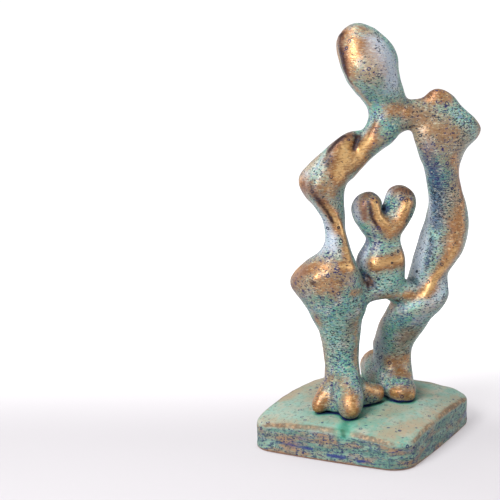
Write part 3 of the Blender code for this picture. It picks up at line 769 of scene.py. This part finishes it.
# Where each paint lies, as strokes.
gold = [
    # Head
    ((31, 2, 232), (26, 12, 234), 5, 0.6), ((35, 9, 228), (36, 9, 222), 5, 0.75),
    ((36, 8, 221), (36, 8, 211), 4, 0.6), ((34, 7, 208), (27, 8, 201), 2.5, 0.6),
    ((18, 10, 194), 2, 0.5), ((10, -7, 231), (29, -3, 230), 4, 0.7),
    ((28, -5, 227), (31, -2, 219), 4, 0.65), ((10, -9, 224), (22, -7, 221), 5, 0.45),
    ((-8, 3, 202), (-5, 4, 195), 3, 0.8),
    # Neck and yoke
    ((16, 22, 191), (5, 27, 189), 4, 0.65), ((20, 15, 183), (22, 12, 176), 2.5, 0.6),
    ((22, 6, 166), 3.5, 1.0),
    # Near shoulder and arm
    ((22, 7, 167), (26, 3, 160), 4.5, 0.9), ((19, 9, 163), (17, 1, 154), 2, 0.6),
    ((27, 0, 172), (29, 1, 165), 6, 1.0), ((32, -1, 157), 6, 0.95),
    ((39, -8, 141), (33, -4, 133), 3, 0.9), ((28, -1, 122), 2.5, 1.0),
    ((39, -7, 151), (35, -4, 146), 5, 0.55), ((15, -25, 155), (37, -22, 151), 3.5, 0.7),
    ((20, -27, 156), (26, -27, 155), 3, 0.9), ((28, -1, 123), (32, 3, 115), 2.5, 0.7),
    ((36, 6, 107), 3, 0.9),
    # Far shoulder, arm and hip
    ((-32, 54, 180), (-34, 54, 170), 4, 0.5), ((3, 28, 188), (-4, 35, 183), 6, 0.4),
    ((-8, 35, 196), (-14, 43, 197), 5, 0.6), ((-3, 37, 180), (-12, 48, 176), 7, 0.42),
    ((-14, 48, 162), (-24, 47, 152), 4, 0.6), ((-22, 50, 130), 4, 0.55),
    ((-20, 50, 130), (-17, 48, 112), 6, 0.6), ((-17, 48, 110), (-15, 42, 99), 4, 0.85),
    ((-5, 35, 86), 3, 1.0), ((-5, 35, 85), (3, 26, 85), 2.5, 0.75),
    ((-28, 28, 157), (-30, 28, 143), 2.5, 0.45), ((-32, 24, 118), 3.5, 0.65),
    ((-33, 25, 117), (-26, 21, 106), 3, 0.75), ((-20, 16, 84), 2.5, 0.7),
    ((-33, 36, 172), (-34, 30, 154), 5, 0.45), ((-37, 30, 125), 6, 0.5),
    # Child
    ((17, 14, 105), (7, 24, 107), 3.5, 1.0), ((16, 13, 140), (15, 15, 131), 3, 0.9),
    ((10, 19, 123), 3.5, 0.95), ((5, 23, 128), 3.5, 1.0), ((3, 27, 138), 3, 0.95),
    ((-9, 11, 109), (-3, 1, 108), 3, 0.55), ((7, -2, 100), 2.5, 0.9),
    # Near hip and bridge
    ((46, -13, 106), (46, -3, 107), 4.5, 0.6), ((49, -7, 102), (36, 7, 107), 2.5, 0.7),
    ((40, 4, 107), (36, 7, 107), 3, 1.0), ((49, -5, 98), (46, 1, 97), 6, 0.6),
    ((37, 9, 92), (27, 10, 92), 2.5, 0.5), ((25, -22, 106), (37, -24, 104), 3.5, 0.5),
    ((37, -27, 101), (45, -18, 104), 5, 0.7), ((24, -30, 95), (35, -30, 97), 3, 0.5),
    ((28, 9, 99), (19, 10, 94), 4, 0.4), ((19, 13, 88), (10, 18, 85), 3, 0.4),
    ((5, 23, 86), 3, 0.45),
    # Near leg and foot
    ((40, -13, 78), (37, -12, 73), 3, 0.5), ((30, 10, 85), (28, 7, 73), 2, 0.35),
    ((22, 4, 58), 2, 0.45), ((22, 4, 42), 2.5, 0.5), ((21, -18, 66), (19, -17, 60), 2.5, 0.45),
    ((31, -6, 40), (33, 0, 39), 3, 0.5), ((39, 7, 36), 3, 0.6),
    ((41, 9, 33), (44, 12, 27), 3.5, 0.85), ((36, -9, 31), (41, -12, 24), 4, 0.7),
    ((14, -15, 51), (23, -15, 50), 4, 0.6), ((19, -16, 47), (22, -15, 39), 5, 0.6),
    ((9, -15, 34), (8, -15, 26), 4, 0.75), ((34, -12, 33), (38, -16, 27), 3, 0.7),
    ((18, 10, 33), (10, 15, 29), 4, 0.7),
    # Far leg and foot
    ((4, 19, 28), (-1, 29, 26), 3, 0.8), ((-9, 13, 42), (-16, 19, 42), 5, 0.6),
    ((-9, 17, 36), (-14, 24, 34), 5, 0.6), ((-5, 12, 73), (-11, 6, 67), 2.5, 0.5),
    ((-20, 0, 55), 3, 0.75), ((-19, -2, 50), (-24, -3, 44), 3, 0.8), ((-34, -17, 34), 4.5, 0.8),
    ((-37, -20, 26), 4, 0.9), ((-41, -18, 32), (-43, -18, 26), 4, 0.7),
    ((-27, -14, 31), (-9, 2, 30), 3, 0.35), ((-9, 12, 81), (-3, 15, 78), 4, 0.6),
]
copper = [
    # Head
    ((31, 0, 231), (35, 3, 222), 2.2, 1.1), ((36, 5, 212), 2.0, 1.1),
    ((-1, -7, 220), (-2, -4, 228), 5, 0.8), ((4, -5, 231), 5, 0.7),
    # Neck and yoke
    ((20, 15, 183), (21, 13, 178), 3, 0.6), ((-12, 19, 185), (3, 2, 173), 3, 0.8),
    ((8, -2, 166), 3, 0.6), ((2, 3, 179), (20, -6, 176), 2.5, 0.6),
    # Near shoulder and arm
    ((22, 0, 177), (31, -7, 169), 2.5, 0.8), ((34, -6, 163), 2.5, 0.6),
    ((41, -15, 151), (42, -11, 146), 3, 0.7), ((39, -8, 141), 2.5, 0.7),
    ((20, -6, 176), (26, -9, 172), 2.5, 0.7), ((10, -11, 165), (10, -21, 155), 3, 0.6),
    ((40, -19, 150), (37, -20, 146), 3.5, 0.7), ((15, -24, 146), (16, -16, 134), 3, 0.7),
    ((17, -11, 121), 3, 0.8), ((17, -13, 108), 2.5, 0.8),
    # Far shoulder, arm and hip
    ((-12, 32, 198), (-24, 30, 192), 6, 0.6), ((-21, 30, 194), (-28, 33, 188), 4, 0.5),
    ((-21, 27, 185), (-12, 19, 185), 2, 0.7), ((-24, 47, 152), (-23, 49, 140), 2.5, 0.5),
    # Child
    ((19, 7, 142), (20, 8, 131), 1.8, 0.8), ((13, 7, 144), (18, 6, 142), 3, 0.6),
    ((2, 21, 146), (0, 27, 145), 3, 0.7), ((-13, 16, 139), (-10, 15, 143), 4, 0.8),
    ((-3, 17, 147), 3, 0.8), ((-10, 12, 137), (-2, 6, 130), 3, 0.7),
    ((4, -1, 138), (4, -2, 130), 2, 0.7),
    # Near hip and bridge
    ((46, -22, 99), (46, -17, 104), 4, 0.7), ((48, -18, 101), (46, -22, 96), 4, 0.6),
]
# Light grey-blue paint, and painted sheen: some patches stand in for the white room's light caught
# along edges and on the head, as painted highlights.
pale_and_sheen = [
    # Head
    ((28, 18, 226), (23, 23, 218), 7, 1.0), ((19, 25, 208), 6, 0.9),
    ((-7, -1, 219), (-7, 0, 210), 3, 0.6), ((33, -5, 226), (35, -3, 211), 1.8, 0.9),
    # Near shoulder and arm
    ((30, -14, 172), (36, -16, 160), 4, 0.4), ((40, -20, 152), (42, -19, 147), 3, 0.8),
    ((38, -12, 143), (34, -10, 134), 2.5, 0.5), ((33, -10, 165), (36, -11, 160), 4, 0.4),
    ((36, -20, 155), (39, -20, 150), 3, 0.7), ((33, -10, 130), (33, -7, 122), 3.5, 0.8),
    ((33, -6, 123), (36, -4, 117), 3.5, 0.8), ((31, -10, 119), (37, -10, 114), 4, 0.7),
    # Far shoulder, arm and hip
    ((-38, 53, 179), (-39, 53, 172), 4, 0.8), ((-36, 47, 168), (-34, 48, 156), 3, 0.5),
    ((-20, 28, 121), (-15, 29, 111), 4, 0.8), ((-16, 29, 114), (-10, 24, 91), 4, 0.9),
    ((-16, 33, 136), (-19, 30, 124), 4, 0.7), ((-21, 25, 115), (-14, 24, 97), 4, 0.8),
    ((-16, 41, 90), (-5, 40, 82), 6, 0.6),
    # Child
    ((11, 5, 111), (16, 6, 105), 3.5, 0.8), ((17, 0, 141), (20, 2, 131), 3.5, 0.9),
    ((0, 12, 141), (2, 18, 145), 3, 0.6),
    # Far leg and foot
    ((1, 14, 33), (3, 22, 33), 1.0, 0.8), ((-7, 6, 59), (-10, 4, 40), 4, 0.6),
    ((-14, 0, 55), (-13, 0, 43), 3.5, 0.6), ((-1, 16, 75), (-10, 4, 61), 3, 0.5),
    ((-5, 40, 82), (-2, 35, 73), 4, 0.5),
]
bronze = [
    # Head
    ((-2, -6, 226), (8, -8, 228), 9, 1.2), ((6, -9, 218), (24, -8, 220), 9, 1.1),
    ((10, -6, 231), (30, -2, 230), 7, 1.1), ((4, -9, 222), (26, -6, 222), 10, 0.9),
    ((2, -8, 212), (10, -9, 212), 7, 0.6), ((33, 12, 224), (33, 18, 214), 9, 0.7),
    # Neck and yoke
    ((-2, 2, 196), (6, -6, 190), 8, 0.5),
    # Near shoulder and arm
    ((20, -27, 150), (37, -22, 148), 9, 0.9), ((13, -19, 162), (30, -20, 162), 9, 0.7),
    ((28, 0, 170), (32, -3, 158), 9, 0.9),
    # Far shoulder, arm and hip
    ((-36, 28, 172), (-40, 28, 112), 11, 1.0), ((-20, 30, 192), (-32, 36, 178), 8, 1.0),
    ((-12, 32, 197), (-30, 32, 184), 11, 0.9), ((-34, 28, 165), (-36, 26, 120), 8, 0.8),
    ((-2, 32, 184), (-16, 46, 168), 12, 0.9), ((-20, 49, 150), (-18, 48, 110), 8, 0.8),
    # Child
    ((-6, 5, 100), (2, -2, 96), 6, 0.9), ((-9, 8, 100), (0, -3, 95), 8, 0.6),
    # Near hip and bridge
    ((24, -30, 98), (45, -18, 100), 12, 0.9), ((42, -18, 103), (42, 6, 104), 9, 0.9),
    # Near leg and foot
    ((8, -14, 90), (14, -20, 40), 9, 0.7), ((26, -24, 84), (24, -20, 60), 8, 0.6),
    ((21, -18, 62), (20, -16, 38), 10, 1.0), ((30, 4, 60), (30, 6, 88), 5, 0.5),
    ((30, -10, 36), (38, -14, 28), 7, 0.8),
    # Far leg and foot
    ((-11, 4, 66), (-30, -12, 38), 8, 0.8), ((-7, 24, 58), (-10, 20, 34), 8, 0.7),
]
combed = [
    ((8, 12, 190), (8, 10, 180), 12, 0.9), ((-4, 25, 188), (-25, 42, 182), 12, 0.9),
    ((-30, 38, 175), (-24, 38, 155), 14, 0.8), ((-16, 46, 175), (-20, 46, 160), 12, 0.8),
    ((20, -24, 158), (35, -20, 146), 10, 0.6), ((14, 12, 116), (0, 6, 116), 8, 0.6),
    ((-14, 20, 60), (-6, 16, 74), 8, 0.4), ((16, -16, 58), (20, -14, 44), 8, 0.5),
]
# Dark blue paint, and painted shade: notches, the far arm's inner face, the child between the arms
# and the gaps by the legs are darkened as if in shade.
indigo_and_shade = [
    # Head
    ((27, 0, 209), (18, -1, 203), 4, 0.3),
    # Neck and yoke
    ((17, 3, 179), (20, 4, 175), 1.5, 0.9), ((24, 4, 171), 1.5, 0.9),
    # Far shoulder, arm and hip
    ((-18, 30, 168), (-12, 32, 150), 6, 0.5), ((0, 37, 170), (-11, 39, 144), 6, 0.8),
    ((-14, 38, 125), 6, 0.8), ((-13, 36, 115), (-6, 31, 88), 2.5, 0.7),
    # Child
    ((-8, 6, 116), (6, -2, 118), 5, 0.8), ((-6, 4, 102), (2, -2, 92), 9, 0.4),
    ((-8, 9, 128), (4, -2, 128), 5, 0.75), ((15, 12, 121), (15, 11, 113), 1.4, 0.7),
    ((19, 10, 106), 1.2, 0.6), ((19, 10, 97), 1.2, 0.7), ((10, 18, 135), (4, 12, 134), 2.5, 1.1),
    ((-3, 10, 140), (-1, 10, 137), 3, 0.8), ((10, -2, 141), (10, -4, 134), 3.5, 0.7),
    ((17, 8, 98), (18, 13, 93), 2.2, 1.2), ((14, 14, 116), (11, 20, 115), 2, 0.4),
    ((-4, 5, 115), (3, 2, 117), 2, 0.6), ((9, 5, 116), (11, 0, 100), 4, 0.9),
    # Near leg and foot
    ((14, 16, 82), (24, 10, 70), 4, 0.3),
    # Far leg and foot
    ((1, 14, 31), (3, 22, 31), 0.9, 0.8), ((-2, 27, 31), 0.9, 0.8),
    ((-4, 24, 66), (-6, 20, 52), 6, 0.4), ((2, 24, 78), (0, 22, 70), 4, 0.5),
]
# Dark brown lines, partly paint and partly painted shadow: the strip beside the head's crest, the
# notch by the neck and the band along the near shoulder stand in for shade.
umber_and_shadow = [
    # Head
    ((31, 0, 231), (35, 2, 222), 1.9, 1.2), ((36, 4, 213), 1.8, 1.3), ((34, 6, 206), 1.5, 1.1),
    ((25, 7, 198), 1.2, 1.0),
    # Neck and yoke
    ((17, 3, 180), (20, 4, 175), 1.8, 1.4), ((24, 4, 170), 1.5, 1.4),
    # Near shoulder and arm
    ((24, -3, 176), (31, -7, 169), 2.2, 1.2), ((35, -7, 162), 2.0, 1.0),
    ((41, -13, 150), (41, -10, 144), 1.9, 0.9), ((37, -7, 138), 1.7, 1.0),
    ((33, -5, 130), 1.3, 0.9),
    # Child
    ((18, 10, 141), (18, 12, 131), 1.3, 0.8), ((13, 17, 121), 1.1, 0.8),
    ((2, 27, 127), (-1, 30, 137), 1.2, 0.7), ((17, 14, 101), (7, 24, 103), 0.8, 0.8),
    ((18, 10, 97), (21, 10, 90), 1.4, 0.9),
    # Near hip and bridge
    ((50, -9, 99), (42, 4, 100), 1.8, 0.7), ((2, 22, 82), (8, 19, 82), 1.2, 0.9),
]
layers = {
    # Dark brown lines and painted shadow.
    "umber_and_shadow": brushed(points, umber_and_shadow),
    "gold": brushed(points, gold, 1.25),
    "copper": brushed(points, copper, 1.4),
    "bronze": np.maximum(brushed(points, bronze, 1.2), brushed(points, gold + copper, 2.2) * 0.8),
    # Light paint and painted sheen.
    "pale_and_sheen": brushed(points, pale_and_sheen, 1.5),
    # Dark blue strokes, and the deepest hollows darkened as painted shade.
    "indigo_and_shade": np.maximum(brushed(points, indigo_and_shade), np.clip(-bulge - 0.5, 0, 0.6)),
    "bright": np.clip(bulge, 0, 1),
    # Painted shade: how far the skin is sunk, to darken its hollows.
    "hollow_shade": np.clip(-bulge / 0.5, 0, 1),
    "sole": np.exp(-((above / 1.0) ** 2)),
    "turned": brushed(points, combed),
}
figure = piece_from("figure_skin", points, quads.tolist(), layers)


def soaked(stain, spots, width):
    """How much of a stain reaches each spot, both seen from above: the stain's points mark squares
    of 1 mm, which are blurred by a bell curve of the given width (mm), and the spots read the
    blurred squares, in proportion to how near their middles lie."""
    square = np.arange(120)
    marked = np.histogram2d(stain[:, 0], stain[:, 1], 120, ((-60, 60), (-60, 60)))[0] > 0
    bell = np.exp(-(((square[:, None] - square) / width) ** 2))
    bell /= bell.sum(axis=1)[:, None]
    blurred = bell @ marked @ bell.T
    at = np.clip(spots[:, :2] + 59.5, 0, 118)
    low = np.minimum(at.astype(int), 117)
    (x, y), (i, j) = (at - low).T, low.T
    return (
        blurred[i, j] * (1 - x) * (1 - y) + blurred[i + 1, j] * x * (1 - y)
        + blurred[i, j + 1] * (1 - x) * y + blurred[i + 1, j + 1] * x * y
    )


# Emerald and blue paint has run out from the soles over the plinth's top.
run_off = 2 * soaked(points[above < 0.8], flat_points, 3.4) * (below_top < 3)
run_off *= 0.95 + 0.12 * unevenness(flat_points, 12.0, 21)
add_layer(plinth.data, "run_off", run_off)

material, tree, shader, place = satin_paint("figure_patina", 0.42)
# Cloudy turquoise with tan and blue flecks, light patches that are partly paint and partly painted
# sheen, dark teal painted shade in the hollows, and dark blue paint with painted shade.
cloud = grain(tree, place, 38.0, 3.0)["Fac"]
small_cloud = grain(tree, place, 120.0, 3.0)["Fac"]
level = flattened(tree, place, 2.6)
fleck = channels(tree, grain(tree, level, 420.0, 3.0)["Color"])
colour = over(tree, fade(tree, cloud, 0.36, 0.64), (76, 138, 120), (112, 156, 144))
colour = over(tree, fade(tree, small_cloud, 0.50, 0.74), colour, (150, 160, 160))
colour = over(tree, fade(tree, fleck[0], 0.50, 0.68), colour, (160, 146, 122), 0.6)
colour = over(tree, fade(tree, fleck[1], 0.52, 0.68), colour, (84, 100, 152), 0.7)
# Light grey-blue paint and painted sheen: partly the object's own wash, partly painted highlight.
pale_and_sheen = cover_of(tree, "pale_and_sheen")
colour = over(tree, pale_and_sheen, colour, (154, 162, 178), 0.85)
# Painted shade: hollows darkened to dark teal, as if less light reached them.
hollow_shade = fade(tree, layer_of(tree, "hollow_shade"), 0.15, 0.9)
colour = over(tree, hollow_shade, colour, (40, 84, 88), 0.75)
# Dark blue paint with painted shade, and a near-black painted shadow in the deepest notches.
colour = over(tree, cover_of(tree, "indigo_and_shade"), colour, (40, 60, 98), 0.8)
notch_shadow = fade(tree, layer_of(tree, "indigo_and_shade"), 0.85, 1.0)
colour = over(tree, notch_shadow, colour, (18, 24, 40))
# Brown and cream over that, ridges worn to brown, and gold with darker copper edges, then dark
# brown lines that are partly paint and partly painted shadow along crests and notches.
bronze = cover_of(tree, "bronze")
colour = over(tree, bronze, colour, (134, 106, 78), 0.85)
colour = over(tree, fade(tree, fleck[1], 0.46, 0.34), colour, (190, 186, 172), 0.45)
worn = fade(tree, layer_of(tree, "bright"), 0.5, 0.95)
colour = over(tree, worn, colour, (128, 94, 64), 0.55)
gold_layer = layer_of(tree, "gold")
gold = grouped(tree, "brush", Thickness=gold_layer)["Cover"]
# Gold runs from dark brown where thin to light yellow at its thickest, and that light middle is a
# painted highlight.
gold_tone_and_highlight = over(tree, fade(tree, gold_layer, 0.15, 0.5), (84, 54, 38), (152, 100, 54))
gold_tone_and_highlight = over(tree, fade(tree, gold_layer, 0.55, 1.0), gold_tone_and_highlight, (212, 170, 112))
gold_tone_and_highlight = over(tree, fade(tree, fleck[0], 0.48, 0.64), gold_tone_and_highlight, (108, 72, 44), 0.6)
gold_tone_and_highlight = over(tree, fade(tree, fleck[2], 0.52, 0.68), gold_tone_and_highlight, (214, 184, 136), 0.7)
copper = cover_of(tree, "copper")
colour = over(tree, gold, colour, gold_tone_and_highlight, 0.88)
colour = over(tree, copper, colour, (98, 60, 42), 0.85)
# Dark brown lines and painted shadow strips, over everything but the marks.
colour = over(tree, cover_of(tree, "umber_and_shadow"), colour, (50, 31, 28))
metal = calc(tree, "MAXIMUM", gold, times(tree, copper, 0.4))
# The cut marks hold dark ink. They crowd in patches, and fewer show under metal and thick paint.
crowd = grain(tree, place, 24.0, 2.0)["Fac"]
thick = mul_add(tree, crowd, 1.7, 0.14)
thick = mul_add(tree, metal, -0.75, thick)
thick = mul_add(tree, pale_and_sheen, -0.45, thick)
thick = mul_add(tree, bronze, -0.25, thick)
marks = grouped(tree, "marks", Strokes=thick, Rings=0.18)
lines = grouped(tree, "lines", Amount=layer_of(tree, "turned"))["Lines"]
dark = calc(tree, "MAXIMUM", marks["Marks"], lines)
dark = calc(tree, "MAXIMUM", dark, marks["Pits"])
ink = over(tree, fade(tree, cloud, 0.45, 0.55), (20, 24, 78), (6, 28, 46))
ink = over(tree, metal, ink, (54, 34, 32), 0.7)
colour = over(tree, dark, colour, ink, 0.95)
sole = fade(tree, layer_of(tree, "sole"), 0.25, 0.6)
colour = over(tree, sole, colour, (24, 34, 88))
tree.links.new(colour, shader.inputs["Base Color"])
metallic = times(tree, metal, mul_add(tree, dark, -0.5, 0.6))
tree.links.new(metallic, shader.inputs["Metallic"])
rough = mul_add(tree, fleck[2], 0.2, 0.32)
tree.links.new(rough, shader.inputs["Roughness"])
height = mul_add(tree, lines, -0.7, marks["Height"])
height = mul_add(tree, small_cloud, 0.8, height)
height = mul_add(tree, fleck[2], 1.6, height)
bump = put(tree, "Bump", {"Height": height, "Strength": 0.5, "Distance": 0.0003})
tree.links.new(bump.outputs[0], shader.inputs["Normal"])
figure.data.materials.append(material)
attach(figure, "root")
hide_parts("figure_group")


# Table top, lights and camera
# The sculpture stands on a light grey sheet that glows with painted light, dim near and in front of
# the sculpture, and brightens into a white background, between soft studio lights. The camera looks
# down on it a little, from where its bowed head comes forward.

turn = np.linspace(0, 2 * np.pi, 96, endpoint=False)
reach = np.array([50.0, 250.0, 900.0, 3000.0])[:, None]
sheet = np.stack([reach * np.cos(turn), reach * np.sin(turn), 0 * reach * turn - 0.2], axis=2)
quads, fans = tube_faces(4, 96)
# Only the middle of the sheet is closed, not its outer end.
faces = quads.tolist() + fans[:96].tolist()
points = np.vstack([sheet.reshape(-1, 3), [(0, 0, -0.2)]])
floor = piece_from("table_top", points, faces, {})
material = bpy.data.materials.new("pale_sheet")
material.use_nodes = True
tree = material.node_tree
shader = tree.nodes["Principled BSDF"]
shader.inputs["Roughness"].default_value = 0.8
shader.inputs["Specular IOR Level"].default_value = 0.2
place = put(tree, "TexCoord").outputs["Object"]
# Painted light: the sheet glows, dim near the sculpture and in front of it, and bright behind it
# and far off.
back = vector(tree, "DOT_PRODUCT", place, (-0.91, -0.41, 0))["Value"]
far = fade(tree, back, -0.02, 0.24)
away = vector(tree, "LENGTH", place)["Value"]
far = calc(tree, "MAXIMUM", far, fade(tree, away, 0.25, 0.9))
tone = over(tree, far, (138, 136, 138), (150, 149, 150))
tree.links.new(tone, shader.inputs["Base Color"])
painted_glow = over(tree, far, (164, 161, 164), (248, 246, 248))
tree.links.new(painted_glow, shader.inputs["Emission Color"])
shader.inputs["Emission Strength"].default_value = 1.0
floor.data.materials.append(material)

world = bpy.data.worlds.new("white_room")
bpy.context.scene.world = world
world.use_nodes = True
tree = world.node_tree
room = tree.nodes["Background"]
seen = put(tree, "LightPath").outputs["Is Camera Ray"]
room.inputs["Color"].default_value = (1.0, 0.985, 1.0, 1.0)
way = put(tree, "TexCoord").outputs["Object"]
back = vector(tree, "DOT_PRODUCT", way, (-0.89, -0.41, 0.1))["Value"]
back = fade(tree, back, -0.4, 0.9)
soft = mul_add(tree, back, 0.26, 0.24)
soft = calc(tree, "MAXIMUM", soft, times(tree, seen, 1.05))
tree.links.new(soft, room.inputs["Strength"])


def stood(right, up, back, place):
    """The turn and place of a lamp or camera, from where its right, top and back face."""
    matrix = np.eye(4)
    matrix[:3] = np.column_stack([right, up, back, place])
    return Matrix(matrix.tolist())


def soft_box(name, place, size, power):
    """A round lamp that faces the middle of the sculpture."""
    lamp = bpy.data.lights.new(name, "AREA")
    lamp.shape = "DISK"
    lamp.size = size
    lamp.energy = power
    back = np.subtract(place, (0, 0, 0.11))
    back /= np.linalg.norm(back)
    right = np.cross((0, 0, 1), back)
    right /= np.linalg.norm(right)
    thing = bpy.data.objects.new(name, lamp)
    thing.matrix_world = stood(right, np.cross(back, right), back, place)
    bpy.context.scene.collection.objects.link(thing)


soft_box("key_light", (0.80, -0.10, 0.66), 0.42, 14.0)
soft_box("top_light", (0.15, -0.05, 1.05), 0.5, 6.0)
soft_box("side_light", (-0.45, 0.95, 0.35), 0.6, 4.0)
soft_box("back_light", (-0.20, -1.05, 0.45), 0.6, 2.8)

# The camera has a long lens, stands 0.82 m off towards +X and a little +Y, looks down 11.5
# degrees, and is aimed 107 mm up the sculpture. The shift puts the sculpture to the right.
bearing, drop, distance = np.radians(114.459), np.radians(11.453), 0.8198
forward = np.array(
    [-np.sin(bearing) * np.cos(drop), np.cos(bearing) * np.cos(drop), -np.sin(drop)]
)
right = np.array([np.cos(bearing), np.sin(bearing), 0.0])
up = np.cross(right, forward)
stand = -distance * forward - 0.0021 * right + 0.1066 * up
camera = bpy.data.cameras.new("camera")
camera.sensor_width = 36.0
camera.lens = 100.8
camera.shift_x = -0.224
thing = bpy.data.objects.new("camera", camera)
thing.matrix_world = stood(right, up, -forward, stand)
bpy.context.scene.collection.objects.link(thing)
bpy.context.scene.camera = thing
bpy.context.scene.view_settings.view_transform = "Standard"
